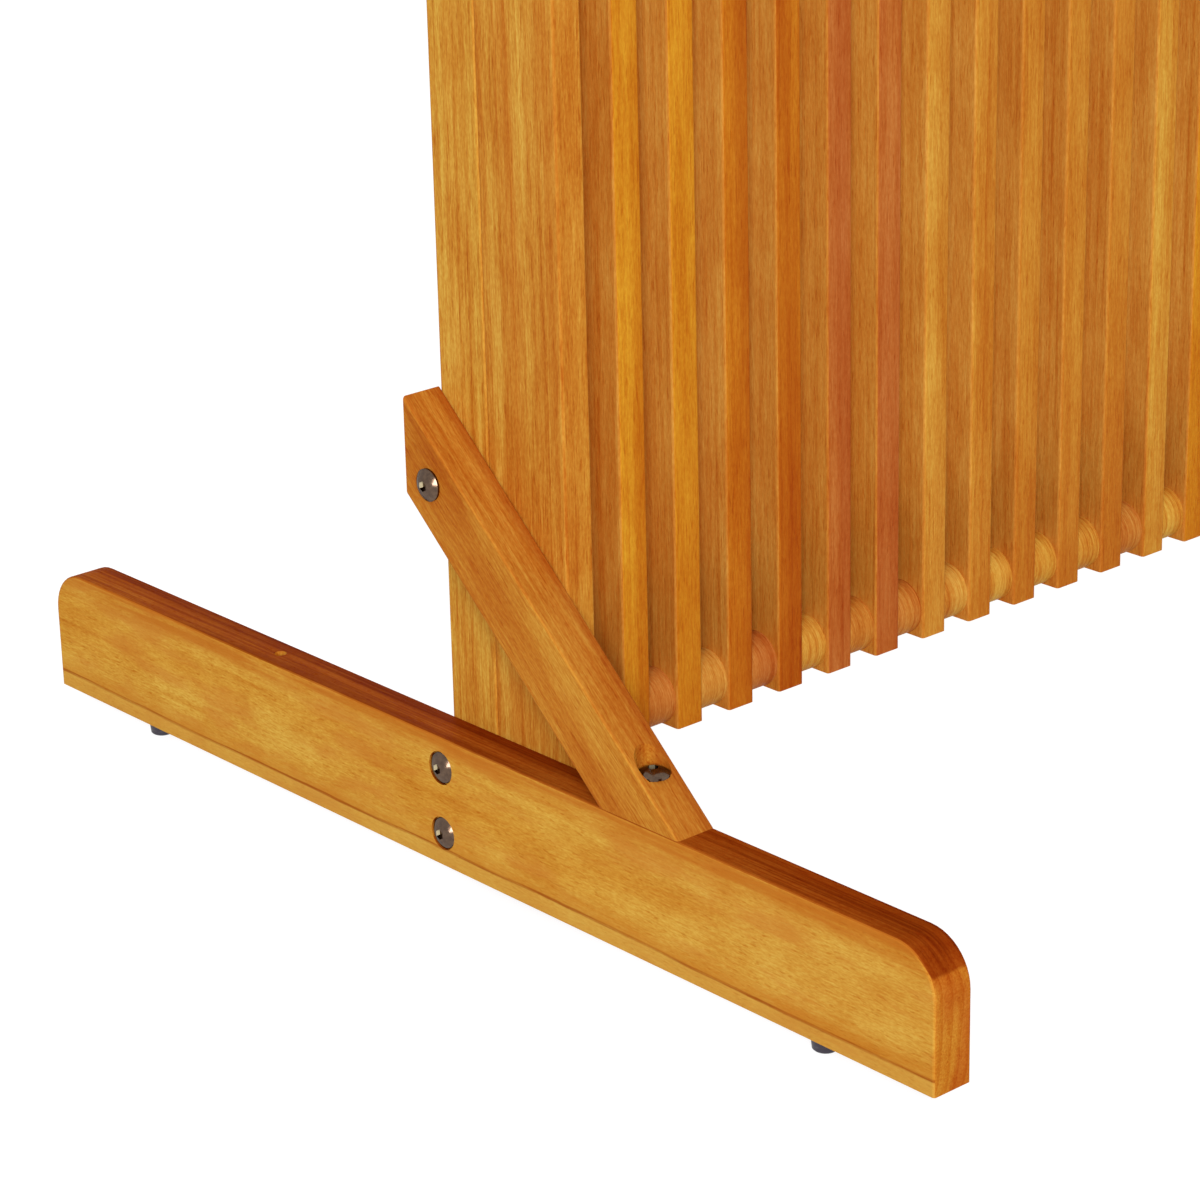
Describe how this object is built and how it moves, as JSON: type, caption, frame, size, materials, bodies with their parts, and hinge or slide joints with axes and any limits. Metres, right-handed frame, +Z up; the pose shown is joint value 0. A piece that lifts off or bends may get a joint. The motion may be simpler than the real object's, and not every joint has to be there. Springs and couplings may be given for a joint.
{
  "type": "garden privacy screen",
  "caption": "Free-standing hardwood privacy screen: upright slats held apart by round discs, on foot beams with sloped braces and screw-in levelling glides.",
  "frame": {"origin": "on the floor, under the middle of the two foot beams and midway between them", "axes": "+Z up, +X across the screen, -Y to the front, where the braces stand"},
  "size_m": [0.9378, 0.7, 1.8],
  "materials": {
    "frame_timber": "oiled, satin",
    "slat_timber": "oiled, satin",
    "spacer_timber": "oiled, satin",
    "dowel_timber": "bare",
    "bolt_metal": "antique plated, polished crown",
    "zinc_metal": "zinc plated",
    "glide_plastic": "moulded, matte"
  },
  "bodies": {
    "screen": {"left_foot_beam": "frame_timber", "left_brace": "frame_timber", "left_post": "frame_timber", "left_end_board": "frame_timber", "right_foot_beam": "frame_timber", "right_brace": "frame_timber", "right_post": "frame_timber", "right_end_board": "frame_timber", "slat_01": "slat_timber", "slat_02": "slat_timber", "slat_03": "slat_timber", "slat_04": "slat_timber", "slat_05": "slat_timber", "slat_06": "slat_timber", "slat_07": "slat_timber", "slat_08": "slat_timber", "slat_09": "slat_timber", "slat_10": "slat_timber", "slat_11": "slat_timber", "slat_12": "slat_timber", "slat_13": "slat_timber", "slat_14": "slat_timber", "slat_15": "slat_timber", "slat_16": "slat_timber", "slat_17": "slat_timber", "slat_18": "slat_timber", "slat_19": "slat_timber", "slat_20": "slat_timber", "slat_21": "slat_timber", "slat_22": "slat_timber", "slat_23": "slat_timber", "bottom_rail": "frame_timber", "middle_rail": "frame_timber", "top_rail": "frame_timber", "bottom_spacers": "spacer_timber", "middle_spacers": "spacer_timber", "top_spacers": "spacer_timber", "bottom_rod": "zinc_metal", "middle_rod": "zinc_metal", "top_rod": "zinc_metal", "foot_bolts": "bolt_metal", "brace_post_bolts": "bolt_metal", "brace_foot_bolts": "bolt_metal", "post_insert_nuts": "zinc_metal", "barrel_nuts": "zinc_metal", "glide_insert_nuts": "zinc_metal", "rail_screws": "zinc_metal", "board_dowels": "dowel_timber"},
    "left_front_glide": {"left_front_glide_pad": "glide_plastic", "left_front_glide_stem": "zinc_metal"},
    "left_rear_glide": {"left_rear_glide_pad": "glide_plastic", "left_rear_glide_stem": "zinc_metal"},
    "right_front_glide": {"right_front_glide_pad": "glide_plastic", "right_front_glide_stem": "zinc_metal"},
    "right_rear_glide": {"right_rear_glide_pad": "glide_plastic", "right_rear_glide_stem": "zinc_metal"}
  },
  "joints": [
    {"name": "left_front_glide_screw", "type": "slide", "parent": "screen", "child": "left_front_glide", "axis": [0, 0, -1], "range_m": [0, 0.01]},
    {"name": "left_rear_glide_screw", "type": "slide", "parent": "screen", "child": "left_rear_glide", "axis": [0, 0, -1], "range_m": [0, 0.01]},
    {"name": "right_front_glide_screw", "type": "slide", "parent": "screen", "child": "right_front_glide", "axis": [0, 0, -1], "range_m": [0, 0.01]},
    {"name": "right_rear_glide_screw", "type": "slide", "parent": "screen", "child": "right_rear_glide", "axis": [0, 0, -1], "range_m": [0, 0.01]}
  ]
}
